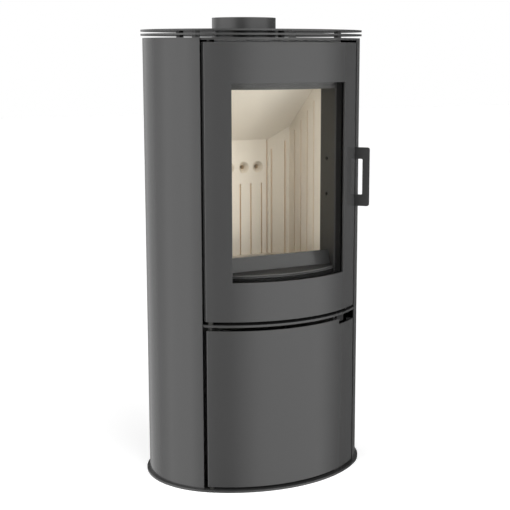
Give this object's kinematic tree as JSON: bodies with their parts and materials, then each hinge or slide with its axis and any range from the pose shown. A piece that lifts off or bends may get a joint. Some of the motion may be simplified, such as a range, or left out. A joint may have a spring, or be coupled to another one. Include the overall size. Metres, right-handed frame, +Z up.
{
  "type": "wood stove",
  "caption": "Free-standing oval wood stove in grey steel with a curved glass door, a D-shaped pull handle and a log compartment behind a lower door.",
  "frame": {"origin": "on the floor, under the middle of the oval casing", "axes": "+Z up towards the flue collar, -Y out of the doors, +X towards the handle side"},
  "size_m": [0.5382, 0.4304, 1.0715],
  "materials": {
    "casing_paint": "smooth grey stove paint, semi-gloss",
    "black_steel": "matt black heat-proof paint",
    "bare_steel": "plain steel",
    "lining_board": "pale pressed vermiculite board",
    "grate_iron": "raw casting",
    "door_glass": "clear, curved",
    "seal_rope": "black glass-fibre rope"
  },
  "bodies": {
    "stove": {"base_plate": "casing_paint", "left_side_panel": "casing_paint", "right_side_panel": "casing_paint", "back_panel": "casing_paint", "middle_ledge": "casing_paint", "casing_top": "casing_paint", "lower_top_plate": "casing_paint", "upper_top_plate": "casing_paint", "plate_spacers": "casing_paint", "flue_collar": "casing_paint", "firebox_wall": "black_steel", "firebox_top": "black_steel", "firebox_floor": "black_steel", "front_frame": "black_steel", "front_sill": "black_steel", "front_lintel": "black_steel", "left_jamb": "black_steel", "right_jamb": "black_steel", "ash_box": "black_steel", "lower_carcass": "black_steel", "latch_keeper": "black_steel", "magnet_catch": "black_steel", "hinge_bushes": "black_steel", "keeper_screws": "black_steel", "top_hinge_pin": "black_steel", "middle_hinge_pin": "black_steel", "bottom_hinge_pin": "black_steel", "air_pivot_bolt": "bare_steel", "ash_pan_runners": "bare_steel", "back_board": "lining_board", "left_corner_board": "lining_board", "right_corner_board": "lining_board", "left_side_board": "lining_board", "right_side_board": "lining_board", "baffle_board": "lining_board", "hearth_board": "lining_board"},
    "firebox_door": {"firebox_door_panel": "casing_paint", "door_glass": "door_glass", "glass_gasket": "seal_rope", "door_frame": "black_steel", "door_rope_seal": "seal_rope", "firebox_door_hinge_blocks": "black_steel", "latch_lugs": "black_steel"},
    "latch_handle": {"door_handle": "casing_paint", "latch_shaft": "bare_steel", "latch_hook": "bare_steel"},
    "lower_door": {"lower_door_panel": "casing_paint", "lower_door_hinge_blocks": "black_steel", "strike_plate": "bare_steel"},
    "air_control": {"air_lever": "black_steel"},
    "ash_tray": {"ash_pan": "bare_steel"},
    "grate_plate": {"grate": "grate_iron"},
    "log_stop": {"log_guard": "casing_paint"}
  },
  "joints": [
    {"name": "firebox_door_hinge", "type": "hinge", "parent": "stove", "child": "firebox_door", "pos_m": [-0.1843, -0.13789, 0], "axis": [0, 0, -1], "range_deg": [0, 110]},
    {"name": "latch_turn", "type": "hinge", "parent": "firebox_door", "child": "latch_handle", "pos_m": [0.19243, -0.12817, 0.704], "axis": [0, 0, 1], "range_deg": [0, 10]},
    {"name": "lower_door_hinge", "type": "hinge", "parent": "stove", "child": "lower_door", "pos_m": [-0.1843, -0.13789, 0], "axis": [0, 0, -1], "range_deg": [0, 110]},
    {"name": "air_lever_turn", "type": "hinge", "parent": "stove", "child": "air_control", "pos_m": [0.089, -0.044, 0.3835], "axis": [0, 0, 1], "range_deg": [0, 16]},
    {"name": "ash_pan_lift", "type": "slide", "parent": "stove", "child": "ash_tray", "axis": [0, 0, 1], "range_m": [0, 0.1]},
    {"name": "grate_lift", "type": "slide", "parent": "ash_tray", "child": "grate_plate", "axis": [0, 0, 1], "range_m": [0, 0.15]},
    {"name": "log_guard_lift", "type": "slide", "parent": "stove", "child": "log_stop", "axis": [0, 0, 1], "range_m": [0, 0.04]}
  ]
}
